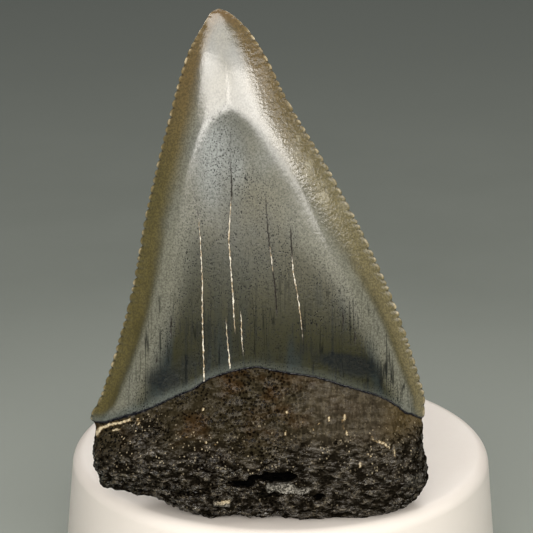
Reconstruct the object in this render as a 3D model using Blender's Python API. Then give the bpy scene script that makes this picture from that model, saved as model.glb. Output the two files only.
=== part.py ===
"""A fossil great white shark tooth standing on a white plastic stand.

The tooth is one grown piece: an enamelled crown with two cutting edges, on a thick porous root.
The stand is a moulded round cap, open underneath, with a rolled rim and a slightly dished top.

Sizes are named in millimetres and turned into metres where a mesh is made. +Z is up. -Y is the
tooth's inner side, the swollen one that faced the tongue, and +Y is its flatter lip side. The
origin is the centre of the stand's foot.
"""

import math

import bmesh
import bpy
from mathutils import Vector

MM = 0.001

# The stand.
STAND_HEIGHT = 15.7
STAND_TOP_RADIUS = 25.0
STAND_FOOT_RADIUS = 26.3
STAND_WALL = 1.6
RIM_RADIUS = 1.5
DISH_DEPTH = 0.3
DISH_RADIUS = 13.0
DISH_CURVE = 2.2
INNER_CORNER_RADIUS = 1.5
STAND_SEGMENTS = 72

# Where the tooth stands: forward of the stand's centre, on the floor of the dish.
CONTACT_GAP = 0.3
TOOTH_X = -2.4
TOOTH_Y = -15.5
TOOTH_Z = STAND_HEIGHT - DISH_DEPTH + CONTACT_GAP

# The tooth's outline, as (height above the root's base, distance from the tooth's middle).
TOOTH_HEIGHT = 55.65
TIP_X = -4.45
LEFT_EDGE = [
    (0.0, -17.0), (0.5, -18.0), (1.6, -18.7), (4.0, -19.1), (8.6, -18.7), (9.8, -19.2),
    (12.0, -18.2), (17.6, -16.3), (25.0, -14.3), (33.1, -12.75), (43.7, -10.1),
    (50.7, -8.0), (54.1, -6.1), (55.3, -5.3), (TOOTH_HEIGHT, TIP_X),
]
RIGHT_EDGE = [
    (0.0, 17.0), (0.5, 18.0), (1.6, 18.9), (3.4, 19.1), (5.5, 18.7), (9.3, 18.4),
    (10.2, 18.6), (12.0, 18.6), (14.8, 17.9), (21.3, 15.8), (28.6, 12.7), (37.6, 8.0),
    (46.3, 2.8), (50.0, 0.95), (53.3, -1.2), (54.5, -2.4), (55.3, -3.5),
    (TOOTH_HEIGHT, TIP_X),
]

# The crown's thickness either side of the plane of its cutting edges, by height, and how far in
# from an edge the bevel reaches before the face flattens. Where both edges are as near, the
# bevels meet in a rounded ridge.
CROWN_FRONT = [(9.0, 5.0), (17.0, 4.9), (30.0, 4.2), (46.0, 2.9), (56.0, 2.2)]
CROWN_BACK = [(9.0, 2.6), (17.0, 2.4), (30.0, 2.1), (46.0, 1.6), (56.0, 1.4)]
BEVEL_FRONT = [(9.0, 10.5), (17.0, 10.0), (30.0, 8.0), (46.0, 6.0)]
BEVEL_BACK = [(9.0, 5.5), (46.0, 4.5)]
RIDGE_ROUNDING = 2.0

# The root's thickness, fullest a third of the way up, and how square its lobes are in plan.
ROOT_FRONT = [(0.0, 5.3), (0.7, 6.1), (2.0, 6.6), (5.0, 6.9), (8.0, 6.5), (12.0, 5.7), (17.5, 5.0)]
ROOT_BACK = [(0.0, 2.6), (0.7, 3.4), (2.0, 4.0), (5.0, 4.5), (8.0, 4.2), (12.0, 3.2), (17.5, 2.5)]
ROOT_SQUARENESS = 6.0
ROOT_END_TAPER = 0.12

# The enamel's lower border, as (distance from the middle, height), and the band it blends over.
BORDER_FRONT = [
    (-19.2, 9.8), (-17.7, 9.9), (-12.4, 12.1), (-7.2, 15.0), (-2.1, 17.2), (-0.3, 17.4),
    (5.5, 16.5), (10.6, 14.8), (15.3, 12.3), (16.5, 11.3), (18.5, 10.0),
]
BORDER_BACK = [(-19.2, 9.8), (-12.0, 10.8), (0.0, 12.6), (12.0, 10.9), (18.5, 10.0)]
BLEND_ABOVE = 0.8
BLEND_BELOW = 2.2

# The root's base isn't level: one lobe is worn short and hangs clear of the stand.
BASE_LIFT = [
    (-18.0, 2.1), (-15.5, 2.6), (-13.0, 2.5), (-9.5, 1.4), (-5.2, 0.35), (-2.0, 0.4),
    (1.5, 0.35), (5.0, 0.05), (8.5, 0.0), (12.5, 0.0), (15.0, 0.2), (17.0, 0.6), (19.0, 1.0),
]
LIFT_FADES_AT = 8.0

# The crown leans away from the swollen side, more so towards the tip.
LEAN = 0.05
LEAN_CURVE = 0.0011

# How finely the tooth is drawn: columns across each face, rings under the base, and level rows,
# close together where the enamel ends.
COLUMNS = 30
BASE_RINGS = (0.3, 0.65)
ROOT_HEIGHTS = (0.0, 0.6, 1.8, 3.6, 5.5, 7.3, 8.5)
BORDER_HEIGHTS = (9.3, 18.3, 11)
CROWN_HEIGHTS = (20.6, 53.0, 15)
TIP_HEIGHTS = (54.1, 55.1)


def smoothstep(low, high, value):
    """0 at low, 1 at high, level at both ends."""
    t = min(max((value - low) / (high - low), 0.0), 1.0)
    return t * t * (3.0 - 2.0 * t)


def along(knots, at):
    """The value at a place on a smooth curve through the knots, which never overshoots them."""
    if at <= knots[0][0]:
        return knots[0][1]
    if at >= knots[-1][0]:
        return knots[-1][1]
    i = max(k for k in range(len(knots) - 1) if knots[k][0] <= at)
    (x0, y0), (x1, y1) = knots[i], knots[i + 1]
    slope = (y1 - y0) / (x1 - x0)

    def tangent(a, b, c):
        before = (b[1] - a[1]) / (b[0] - a[0])
        after = (c[1] - b[1]) / (c[0] - b[0])
        return 0.0 if before * after <= 0.0 else 2.0 * before * after / (before + after)

    start = tangent(knots[i - 1], knots[i], knots[i + 1]) if i > 0 else slope
    end = tangent(knots[i], knots[i + 1], knots[i + 2]) if i + 2 < len(knots) else slope
    run = x1 - x0
    t = (at - x0) / run
    return (
        y0 * (1 + 2 * t) * (1 - t) ** 2
        + start * run * t * (1 - t) ** 2
        + y1 * t * t * (3 - 2 * t)
        + end * run * t * t * (t - 1)
    )


def nearer_edge(height, x):
    """The distance in from the nearer cutting edge, rounded over where both are as near."""
    reach = 2.0
    distances = []
    for edge, inward in ((LEFT_EDGE, 1.0), (RIGHT_EDGE, -1.0)):
        slope = (along(edge, height + reach) - along(edge, height - reach)) / (2.0 * reach)
        distances.append(inward * (x - along(edge, height)) / math.hypot(1.0, slope))
    from_left, from_right = distances
    rounding = min(RIDGE_ROUNDING, 0.8 * (from_left + from_right))
    share = min(max(0.5 + 0.5 * (from_right - from_left) / rounding, 0.0), 1.0)
    nearer = from_right * (1.0 - share) + from_left * share - rounding * share * (1.0 - share)
    return max(nearer, 0.0)


def crown_thickness(height, x, full, bevel):
    """A cutting bevel that rises from the edge and eases onto the crown's flatter middle."""
    t = min(nearer_edge(height, x) / along(bevel, height), 1.0)
    return along(full, height) * (t + t * t - t * t * t)


def root_thickness(height, u, full):
    """A root with rounded ends, a little thinner towards its lobes."""
    ends = (1.0 - abs(u) ** ROOT_SQUARENESS) ** 0.5
    return along(full, height) * ends * (1.0 - ROOT_END_TAPER * u * u)


def lean(height):
    return LEAN * height + LEAN_CURVE * height * height


def surface_point(height, u, front, inset=1.0):
    """A point of the tooth at u from -1, its left edge, to 1, its right, in the tooth's frame."""
    left, right = along(LEFT_EDGE, height), along(RIGHT_EDGE, height)
    x = (left + right) / 2 + u * (right - left) / 2
    if front:
        crown, bevel, root, border = CROWN_FRONT, BEVEL_FRONT, ROOT_FRONT, BORDER_FRONT
    else:
        crown, bevel, root, border = CROWN_BACK, BEVEL_BACK, ROOT_BACK, BORDER_BACK
    line = along(border, x)
    is_crown = smoothstep(line - BLEND_BELOW, line + BLEND_ABOVE, height)
    depth = is_crown * crown_thickness(height, x, crown, bevel)
    depth += (1.0 - is_crown) * root_thickness(height, u, root)
    lift = along(BASE_LIFT, x) * (1.0 - smoothstep(0.0, LIFT_FADES_AT, height))
    y = lean(height) + (-depth if front else depth)
    return Vector((x * inset, y * inset, height + lift))


def ring(height, inset=1.0):
    """One level section of the tooth: along the front from left to right, and back behind."""
    spread = [-math.cos(math.pi * j / COLUMNS) for j in range(COLUMNS + 1)]
    front = [surface_point(height, u, True, inset) for u in spread]
    back = [surface_point(height, u, False, inset) for u in reversed(spread[1:-1])]
    return front + back


def evenly(first, last, count):
    return [first + (last - first) * i / (count - 1) for i in range(count)]


def tooth_rings():
    """All level sections, from the small rings under the root's base to the last below the tip."""
    heights = [*ROOT_HEIGHTS, *evenly(*BORDER_HEIGHTS), *evenly(*CROWN_HEIGHTS), *TIP_HEIGHTS]
    return [ring(0.0, inset) for inset in BASE_RINGS] + [ring(height) for height in heights]


def material(name, colour, roughness):
    made = bpy.data.materials.new(name)
    made.use_nodes = True
    shader = made.node_tree.nodes["Principled BSDF"]
    shader.inputs["Base Color"].default_value = (*colour, 1.0)
    shader.inputs["Roughness"].default_value = roughness
    shader.inputs["Metallic"].default_value = 0.0
    return made


def add_object(name, shape, materials, place):
    """Makes a named object of a bmesh in millimetres, standing at a place in millimetres."""
    bmesh.ops.recalc_face_normals(shape, faces=shape.faces)
    bmesh.ops.scale(shape, vec=(MM, MM, MM), verts=shape.verts)
    mesh = bpy.data.meshes.new(name)
    shape.to_mesh(mesh)
    shape.free()
    for each in materials:
        mesh.materials.append(each)
    mesh.shade_smooth()
    mesh.set_sharp_from_angle(angle=math.radians(40))
    made = bpy.data.objects.new(name, mesh)
    made.location = Vector(place) * MM
    bpy.context.scene.collection.objects.link(made)


def build_tooth():
    """Skins the level sections from the root's base to the tip."""
    tooth = bmesh.new()
    rows = [[tooth.verts.new(point) for point in section] for section in tooth_rings()]
    count = len(rows[0])
    base = tooth.verts.new((0.0, 0.0, along(BASE_LIFT, 0.0)))
    tip = tooth.verts.new((TIP_X, lean(TOOTH_HEIGHT), TOOTH_HEIGHT))
    for j in range(count):
        k = (j + 1) % count
        tooth.faces.new((base, rows[0][k], rows[0][j]))
        tooth.faces.new((tip, rows[-1][j], rows[-1][k])).material_index = 1
        for lower, upper in zip(rows, rows[1:]):
            face = tooth.faces.new((lower[j], lower[k], upper[k], upper[j]))
            middle = face.calc_center_median()
            border = BORDER_FRONT if j < COLUMNS else BORDER_BACK
            face.material_index = int(middle.z > along(border, middle.x))
    root = material("root", (0.045, 0.038, 0.030), 0.6)
    enamel = material("enamel", (0.24, 0.235, 0.19), 0.3)
    add_object("tooth", tooth, (root, enamel), (TOOTH_X, TOOTH_Y, TOOTH_Z))


def arc(centre_r, centre_z, radius, first, last, steps):
    """Points of an arc in the stand's profile, as (radius, height), between two angles."""
    turns = [math.radians(first + (last - first) * i / steps) for i in range(steps + 1)]
    return [(centre_r + radius * math.cos(a), centre_z + radius * math.sin(a)) for a in turns]


def stand_profile():
    """The cap's section, from the underside of its top, down and round, to the dished floor."""
    floor = STAND_HEIGHT - DISH_DEPTH
    ceiling = floor - STAND_WALL
    crest = STAND_TOP_RADIUS - RIM_RADIUS
    corner = INNER_CORNER_RADIUS
    inner_top = STAND_TOP_RADIUS - STAND_WALL
    inside = [(0.0, ceiling), (inner_top / 2, ceiling)]
    inside += arc(inner_top - corner, ceiling - corner, corner, 90, 0, 4)
    outside = [(STAND_FOOT_RADIUS - STAND_WALL, 0.0), (STAND_FOOT_RADIUS, 0.0)]
    outside += arc(crest, STAND_HEIGHT - RIM_RADIUS, RIM_RADIUS, 0, 90, 6)
    dish = []
    for share in (0.85, 0.7, 0.55, 0.4, 0.2, 0.0):
        radius = DISH_RADIUS + (crest - DISH_RADIUS) * share
        dish.append((radius, floor + DISH_DEPTH * share**DISH_CURVE))
    return inside + outside + dish + [(DISH_RADIUS / 2, floor), (0.0, floor)]


def build_stand():
    """Turns the profile about the stand's axis."""
    stand = bmesh.new()
    points = [stand.verts.new((r, 0.0, z)) for r, z in stand_profile()]
    edges = [stand.edges.new(pair) for pair in zip(points, points[1:])]
    bmesh.ops.spin(
        stand,
        geom=points + edges,
        axis=(0.0, 0.0, 1.0),
        cent=(0.0, 0.0, 0.0),
        angle=2.0 * math.pi,
        steps=STAND_SEGMENTS,
        use_merge=True,
    )
    bmesh.ops.remove_doubles(stand, verts=stand.verts, dist=0.001)
    white = material("white_plastic", (0.78, 0.74, 0.69), 0.45)
    add_object("stand", stand, (white,), (0.0, 0.0, 0.0))


for leftover in list(bpy.data.objects):
    bpy.data.objects.remove(leftover)
build_stand()
build_tooth()
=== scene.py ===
# %% [markdown]
# # A fossil shark tooth on a white stand
#
# The real thing is two pieces. One is the tooth of a great white shark, turned to stone: a crown of glassy
# enamel, serrated down each side, on a root of porous, nearly black bone. The other is the stand, an
# upturned cap of white moulded plastic.
#
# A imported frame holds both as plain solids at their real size. This lesson loads it and makes the surfaces
# that the eye sees, in millimetres, which it turns into Blender's metres at the end.

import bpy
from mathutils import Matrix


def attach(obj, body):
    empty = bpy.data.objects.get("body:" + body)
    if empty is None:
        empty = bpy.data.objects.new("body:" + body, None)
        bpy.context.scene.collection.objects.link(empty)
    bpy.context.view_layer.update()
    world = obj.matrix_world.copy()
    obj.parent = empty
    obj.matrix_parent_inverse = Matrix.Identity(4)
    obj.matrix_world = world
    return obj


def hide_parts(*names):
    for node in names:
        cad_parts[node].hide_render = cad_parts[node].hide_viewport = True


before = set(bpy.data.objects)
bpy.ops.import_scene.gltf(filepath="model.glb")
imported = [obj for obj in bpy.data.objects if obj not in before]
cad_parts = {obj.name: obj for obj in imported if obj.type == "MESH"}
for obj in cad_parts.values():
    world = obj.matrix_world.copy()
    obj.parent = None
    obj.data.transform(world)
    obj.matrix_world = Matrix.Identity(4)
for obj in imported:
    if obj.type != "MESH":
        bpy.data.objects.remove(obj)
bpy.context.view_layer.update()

# %% Bring in the tools
import math

import bmesh
import bpy
import numpy as np
from mathutils import Vector, noise

MM = 0.001
scene = bpy.context.scene


def add_object(name, data):
    """A new object, put in the scene."""
    made = bpy.data.objects.new(name, data)
    scene.collection.objects.link(made)
    return made


print("Blender", bpy.app.version_string)

# %% [markdown]
# ## Helpers for shapes
#
# A worn tooth has no straight line in it. Its outlines could be drawn as curve objects, but NumPy works on
# a whole mesh of points at once. So each outline is a short list of knots and a smooth curve through them,
# which never bulges past a knot.

# %% A smooth curve through a few knots
def along(knots, at):
    """Values at the places `at` on a smooth curve through (place, value) knots."""
    place, value = np.array(knots, float).T
    run = np.diff(place)
    slope = np.diff(value) / run
    before, after = slope[:-1], slope[1:]
    same_way = before * after > 0
    total = np.where(same_way, before + after, 1)
    tangent = np.concatenate([slope[:1], np.where(same_way, 2 * before * after / total, 0), slope[-1:]])
    at = np.clip(at, place[0], place[-1])
    i = np.clip(np.searchsorted(place, at, side="right") - 1, 0, len(run) - 1)
    t = (at - place[i]) / run[i]
    return (
        value[i] * (1 + 2 * t) * (1 - t) ** 2
        + tangent[i] * run[i] * t * (1 - t) ** 2
        + value[i + 1] * t * t * (3 - 2 * t)
        + tangent[i + 1] * run[i] * t * t * (t - 1)
    )


def ease(low, high, value):
    """0 up to low, 1 from high, and level at both ends in between."""
    t = np.clip((value - low) / (high - low), 0, 1)
    return t * t * (3 - 2 * t)


print("halfway up an ease:", ease(0, 2, 1))

# %% Lumps and pores that come out the same every time
def lumps(places, size, seed):
    """Smooth noise, about -0.6 to 0.6, with lumps of a size in mm: one number, or one for each axis."""
    moved = places.reshape(-1, 3) / np.array(size) + seed
    return np.array([noise.noise(Vector(place)) for place in moved]).reshape(places.shape[:-1])


def pores(places, size, seed):
    """How near each place is to a scattered pore, 0 at a pore's middle, and a random number per pore."""
    nearness, luck = [], []
    for place in places.reshape(-1, 3) / size + seed:
        distances, centres = noise.voronoi(Vector(place))
        nearness.append(distances[0])
        luck.append(noise.cell(centres[0] * 7.3))
    return np.array(nearness).reshape(places.shape[:-1]), np.array(luck).reshape(places.shape[:-1])


print("one lump:", lumps(np.array([1.2, 3.4, 5.6]), 2, 0))

# %% [markdown]
# ## The camera
#
# A long lens from a forearm's length away keeps the crown's proportions true. It looks straight along +Y
# and down a little, enough to see the top of the stand behind the root.

# %% Set up the camera
CAMERA_PLACE = (-1.69, -257.61, 124.75)
LOOK_DOWN = 18.5
LENS = 156.3
SENSOR = 36

camera = add_object("camera", bpy.data.cameras.new("camera"))
camera.location = Vector(CAMERA_PLACE) * MM
camera.rotation_euler = (math.radians(90 - LOOK_DOWN), 0, 0)
camera.data.lens = LENS
camera.data.sensor_width = SENSOR
camera.data.clip_start = 0.01
scene.camera = camera
scene.view_settings.view_transform = "Standard"
print(f"field of view: {math.degrees(camera.data.angle):.2f} degrees")

# %% [markdown]
# ## Helpers for materials
#
# A procedural material is a long chain of small nodes, and written out in full it hides the recipe. So a
# node's output is wrapped as a wire that adds and multiplies like a number, and a bench puts each node
# down and joins it in one call. A recipe then reads from top to bottom, layer by layer.

# %% Wires, and a small bench for joining nodes
class Wire:
    """A node's output. Each sum or method puts down one more node and returns the wire from it."""

    def __init__(self, bench, socket):
        self.bench = bench
        self.socket = socket

    def math(self, operation, other=0):
        return self.bench.math(operation, self, other)

    def __add__(self, other):
        return self.math("ADD", other)

    def __sub__(self, other):
        return self.math("SUBTRACT", other)

    def __rsub__(self, other):
        return self.bench.math("SUBTRACT", other, self)

    def __mul__(self, other):
        return self.math("MULTIPLY", other)

    def __rtruediv__(self, other):
        return self.bench.math("DIVIDE", other, self)

    def __abs__(self):
        return self.math("ABSOLUTE")

    def ease(self, low, high, start=0, end=1):
        """Goes smoothly from start to end while this wire goes from low to high."""
        inputs = {0: self, 1: low, 2: high, 3: start, 4: end}
        return self.bench.node("MapRange", inputs, interpolation_type="SMOOTHSTEP")

    def mix(self, first, second):
        """The first colour where this wire is 0, the second where it is 1, as wires or as 0 to 255."""
        first, second = [srgb(*each) if isinstance(each, tuple) else each for each in (first, second)]
        return self.bench.node("Mix", {0: self, 6: first, 7: second}, 2, data_type="RGBA")

    def stretch(self, *by):
        return self.bench.node("VectorMath", {0: self, 1: by}, operation="MULTIPLY")

    def noise(self, scale=1, detail=2, roughness=0.5, output="Fac"):
        inputs = {"Vector": self, "Scale": scale, "Detail": detail, "Roughness": roughness}
        return self.bench.node("TexNoise", inputs, output)

    def cells(self, scale):
        """The distance to the middle of the nearest cell, and a random number for each cell."""
        distance = self.bench.node("TexVoronoi", {"Vector": self, "Scale": scale}, "Distance")
        return distance, Wire(self.bench, distance.socket.node.outputs["Color"])

    def warp(self, size, amount):
        """Pushes a place about by smooth noise, to make straight patterns crooked."""
        push = {0: self.noise(1 / size, output="Color"), 1: (0.5, 0.5, 0.5)}
        push = self.bench.node("VectorMath", push, operation="SUBTRACT").stretch(amount, amount, amount)
        return self.bench.node("VectorMath", {0: self, 1: push}, operation="ADD")


class Bench:
    """Adds nodes to one node tree and joins them."""

    def __init__(self, tree):
        self.tree = tree

    def join(self, sockets, values):
        """Links each wire to the socket of that name, or sets a plain value on it."""
        for key, value in values.items():
            if isinstance(value, Wire):
                self.tree.links.new(value.socket, sockets[key])
            else:
                sockets[key].default_value = value

    def node(self, kind, inputs, output=0, **settings):
        made = self.tree.nodes.new("ShaderNode" + kind)
        for name, value in settings.items():
            setattr(made, name, value)
        self.join(made.inputs, inputs)
        return Wire(self, made.outputs[output])

    def math(self, operation, first, second):
        return self.node("Math", {0: first, 1: second}, operation=operation)

    def stored(self, *titles):
        """The measures that the mesh stores under these titles."""
        return {title: self.node("Attribute", {}, "Fac", attribute_name=title) for title in titles}

    def effect(self, group, **inputs):
        """Places a node group. Its outputs come back by their names."""
        made = self.tree.nodes.new("ShaderNodeGroup")
        made.node_tree = group
        titled = {name.replace("_", " ").capitalize(): value for name, value in inputs.items()}
        self.join(made.inputs, titled)
        return {socket.name: Wire(self, socket) for socket in made.outputs}


def srgb(red, green, blue):
    """A colour as a paint chart gives it, 0 to 255, as the linear one that a shader mixes."""
    shares = [c / 255 for c in (red, green, blue)]
    return (*[c / 12.92 if c <= 0.04045 else ((c + 0.055) / 1.055) ** 2.4 for c in shares], 1)


print("a mid grey is", [round(c, 3) for c in srgb(128, 128, 128)])

# %% Starting a group and a material
def start_group(name, numbers, outputs):
    """A new node group. It takes a place and the numbers, each a title and its usual value."""
    group = bpy.data.node_groups.new(name, "ShaderNodeTree")
    group.interface.new_socket("Place", in_out="INPUT", socket_type="NodeSocketVector")
    for title, usual in numbers.items():
        socket = group.interface.new_socket(title, in_out="INPUT", socket_type="NodeSocketFloat")
        socket.default_value = usual
    for title in outputs:
        kind = "NodeSocketColor" if title == "Colour" else "NodeSocketFloat"
        group.interface.new_socket(title, in_out="OUTPUT", socket_type=kind)
    bench = Bench(group)
    given = {socket.name: Wire(bench, socket) for socket in group.nodes.new("NodeGroupInput").outputs}
    result = group.nodes.new("NodeGroupOutput").inputs
    return group, bench, given, result


def start_material(name, constants):
    """A new material with one Principled shader, its even values set on the shader's own sockets."""
    made = bpy.data.materials.new(name)
    made.use_nodes = True
    bench = Bench(made.node_tree)
    shader = made.node_tree.nodes["Principled BSDF"].inputs
    bench.join(shader, constants)
    return made, bench, shader


def millimetres(bench):
    """The place on the piece, in mm, so that a pattern's scale is a real size."""
    place = bench.node("TexCoord", {}, "Object")
    return place.stretch(1 / MM, 1 / MM, 1 / MM)


def bumps(bench, height, depth):
    """A bump from a height, where a height of 1 stands for a depth in metres."""
    return bench.node("Bump", {"Height": height, "Distance": depth, "Strength": 1}, "Normal")


print("a millimetre is", MM, "of a metre")

# %% [markdown]
# ## Two effects that several finishes share
#
# Nothing here is one flat colour. The bone, the enamel, the plastic and the floor all have a fine grain,
# and most carry a few specks. Each effect is one node group, placed in each material that needs it with
# its own values, so that it is made and mended in one place.

# %% Grain: uneven tone and a little relief
dials = {"Size": 1, "Sharpness": 0.5}
grain_group, bench, given, result = start_group("Fine grain", dials, ["Tone", "Relief"])
coarse = given["Place"].noise(1 / given["Size"], detail=4, roughness=given["Sharpness"])
bench.join(result, {"Tone": coarse.ease(0.3, 0.7), "Relief": coarse})
print("effect:", grain_group.name)

# %% Specks: small scattered dots, each with its own strength
dials = {"Spacing": 1, "Size": 0.2, "Share": 0.5}
speck_group, bench, given, result = start_group("Specks", dials, ["Mask"])
distance, luck = given["Place"].cells(1 / given["Spacing"])
ragged = (given["Place"].noise(0.9 / given["Size"], detail=1) - 0.5) * given["Size"]
away = distance * given["Spacing"] + ragged
chosen = luck.math("LESS_THAN", given["Share"])
dot = away.ease(given["Size"] * 0.5, given["Size"], 1, 0)
bench.join(result, {"Mask": dot * chosen})


def speckle(place, spacing, size, share):
    """A mask of specks: their spacing and size in mm, and the share of places that have one."""
    return place.bench.effect(speck_group, place=place, spacing=spacing, size=size, share=share)["Mask"]


print("effect:", speck_group.name)

# %% [markdown]
# ## The studio
#
# A pale floor that curves up all round, like a wide bowl, gives every view a plain background with no
# horizon line. Its colour is painted paler near the stand and again far off: painted light that grades the
# background. The enamel is a curved mirror under its colour, so the lamps, all soft boxes, are placed for
# what
# it reflects: the tip and the shoulders of the crown catch the broad ones above and in front, while the flat
# middle looks under them at the darker room. The one behind has a grid, to spare the background.

# %% The floor
FLOOR_FLAT = 900
COVE_RADIUS = 700


def spin_profile(name, profile, segments):
    """Turns a profile of (radius, height) points in mm about the upright axis."""
    shape = bmesh.new()
    points = [shape.verts.new((r, 0, z)) for r, z in profile]
    edges = [shape.edges.new(pair) for pair in zip(points, points[1:])]
    turn = dict(axis=(0, 0, 1), cent=(0, 0, 0), angle=2 * math.pi, steps=segments, use_merge=True)
    bmesh.ops.spin(shape, geom=points + edges, **turn)
    bmesh.ops.remove_doubles(shape, verts=shape.verts, dist=0.001)
    bmesh.ops.recalc_face_normals(shape, faces=shape.faces)
    bmesh.ops.scale(shape, vec=(MM, MM, MM), verts=shape.verts)
    mesh = bpy.data.meshes.new(name)
    shape.to_mesh(mesh)
    shape.free()
    mesh.shade_smooth()
    return add_object(name, mesh)


cove = [math.radians(angle) for angle in range(-90, 1, 6)]
floor_profile = [(0, 0), (FLOOR_FLAT / 2, 0)]
floor_profile += [(FLOOR_FLAT + COVE_RADIUS * math.cos(a), COVE_RADIUS * (1 + math.sin(a))) for a in cove]
floor = spin_profile("floor", floor_profile, 96)

floor_finish, bench, shader = start_material("studio_floor", {"Roughness": 0.9})
place = millimetres(bench)
grain = bench.effect(grain_group, place=place, size=35)
floor_grain_tone = grain["Tone"].mix((122, 128, 122), (126, 132, 126))
from_stand = bench.node("VectorMath", {0: place}, "Value", operation="LENGTH")
# Painted light: the floor is painted paler near the stand and again far off, grading the background.
painted_light_near_and_far = from_stand.ease(50, 118, 1, 0) + from_stand.ease(120, 340)
bench.join(shader, {"Base Color": painted_light_near_and_far.mix(floor_grain_tone, (145, 151, 145))})
floor.data.materials.append(floor_finish)
print("floor:", len(floor.data.polygons), "faces")

# %% The lamps
AIM = Vector((0, -15, 42))


def soft_box(name, azimuth, elevation, distance, width, height, radiance, colour, spread=180):
    """A lamp that faces the tooth, placed by angles. A spread under 180 is a grid over its front."""
    data = bpy.data.lights.new(name, "AREA")
    data.shape = "RECTANGLE"
    data.size, data.size_y = width * MM, height * MM
    data.energy = radiance * math.pi * data.size * data.size_y
    if spread < 180:
        data.spread = math.radians(spread)
        half = data.spread / 2
        data.energy *= (math.tan(half) - half) / math.tan(half)
    data.color = srgb(*colour)[:3]
    lamp = add_object(name, data)
    around, up = math.radians(azimuth), math.radians(elevation)
    outward = Vector((math.sin(around) * math.cos(up), -math.cos(around) * math.cos(up), math.sin(up)))
    lamp.location = (AIM + outward * distance) * MM
    lamp.rotation_euler = outward.to_track_quat("Z", "Y").to_euler()
    print(f"{name} gives {data.energy:.2f} W")


soft_box("key_left", -20.5, 22.5, 460, 335, 72, 9, (255, 249, 240))
soft_box("key_right", 19, 22.5, 460, 310, 72, 9, (255, 249, 240))
soft_box("upper_box", -6, 33, 460, 640, 96, 4.9, (255, 250, 243))
soft_box("shoulder_left", -19, 13.5, 460, 235, 76, 8, (255, 250, 243))
soft_box("shoulder_right", 12, 14.8, 460, 300, 54, 6, (255, 250, 243))
soft_box("edge_box", 47, 23, 460, 146, 97, 2.2, (255, 250, 243))
soft_box("low_box", 0, 7, 480, 760, 84, 0.8, (255, 250, 236))
soft_box("right_box", 90, 22, 420, 240, 240, 1.9, (255, 250, 240))
soft_box("top_box", -20, 78, 300, 240, 240, 1.5, (255, 250, 244))
soft_box("back_box", 180, 34, 460, 440, 200, 6.5, (255, 250, 244), spread=54)

world = bpy.data.worlds.new("room")
world.use_nodes = True
world.node_tree.nodes["Background"].inputs["Color"].default_value = srgb(200, 204, 208)
world.node_tree.nodes["Background"].inputs["Strength"].default_value = 0.22
scene.world = world

# %% [markdown]
# ## The stand
#
# The real stand is a moulded cap on its open edge: a thin wall, a rolled rim and a nearly flat top. A large
# flat of plastic sinks as it cools, so the top is a very shallow bowl that rises to the rim with no step.
# A bevelled cylinder would come close. Turning one profile gives the bowl, the taper and the hollow
# underside as well, with real arcs at the corners, so the light rolls over the rim with no facets.

# %% The stand's profile
STAND_HEIGHT = 15.7
STAND_TOP_RADIUS = 25
STAND_FOOT_RADIUS = 26.3
STAND_WALL = 1.6
RIM_RADIUS = 1.5
DISH_DEPTH = 0.3
DISH_RADIUS = 13
DISH_CURVE = 2.2
INNER_CORNER_RADIUS = 1.5
FOOT_EDGE_RADIUS = 0.25
STAND_FLOOR = STAND_HEIGHT - DISH_DEPTH


def arc(centre_r, centre_z, radius, first, last, steps):
    """Points of an arc in a profile, as (radius, height), between two angles."""
    turns = np.radians(np.linspace(first, last, steps + 1))
    return [(centre_r + radius * math.cos(a), centre_z + radius * math.sin(a)) for a in turns]


def bowl_height(radius):
    """The height of the stand's top at a distance from its axis: flat, then rising gently to the rim."""
    share = (radius - DISH_RADIUS) / (STAND_TOP_RADIUS - RIM_RADIUS - DISH_RADIUS)
    return STAND_FLOOR + DISH_DEPTH * np.clip(share, 0, 1) ** DISH_CURVE


# From the underside of the top, down inside the wall, round the foot and the rim, to the bowl
ceiling = STAND_FLOOR - STAND_WALL
crest = STAND_TOP_RADIUS - RIM_RADIUS
inner_top = STAND_TOP_RADIUS - STAND_WALL
corner, edge = INNER_CORNER_RADIUS, FOOT_EDGE_RADIUS
profile = [(0, ceiling), (inner_top / 2, ceiling)]
profile += arc(inner_top - corner, ceiling - corner, corner, 90, 0, 8)
profile += arc(STAND_FOOT_RADIUS - STAND_WALL + edge, edge, edge, 180, 270, 4)
profile += arc(STAND_FOOT_RADIUS - edge, edge, edge, 270, 360, 4)
profile += arc(crest, STAND_HEIGHT - RIM_RADIUS, RIM_RADIUS, 2, 90, 16)
profile += [(radius, bowl_height(radius)) for radius in np.linspace(crest - 0.5, DISH_RADIUS, 20)]
profile += [(DISH_RADIUS * share, STAND_FLOOR) for share in (0.6, 0.3, 0)]
stand = spin_profile("cap_stand", profile, 256)
print("stand:", len(stand.data.polygons), "faces")

# %% [markdown]
# ## The tooth's shape
#
# A tooth grows as one body, so it is one mesh, skinned over level rings from the root's base to the tip.
# Each ring runs along the front from the left cutting edge to the right one, and back behind. It could be
# sculpted, but here a point is known by its height, its place between the edges and its side, and every
# feature is a formula of those three, which keeps a natural form easy to edit.

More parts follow.
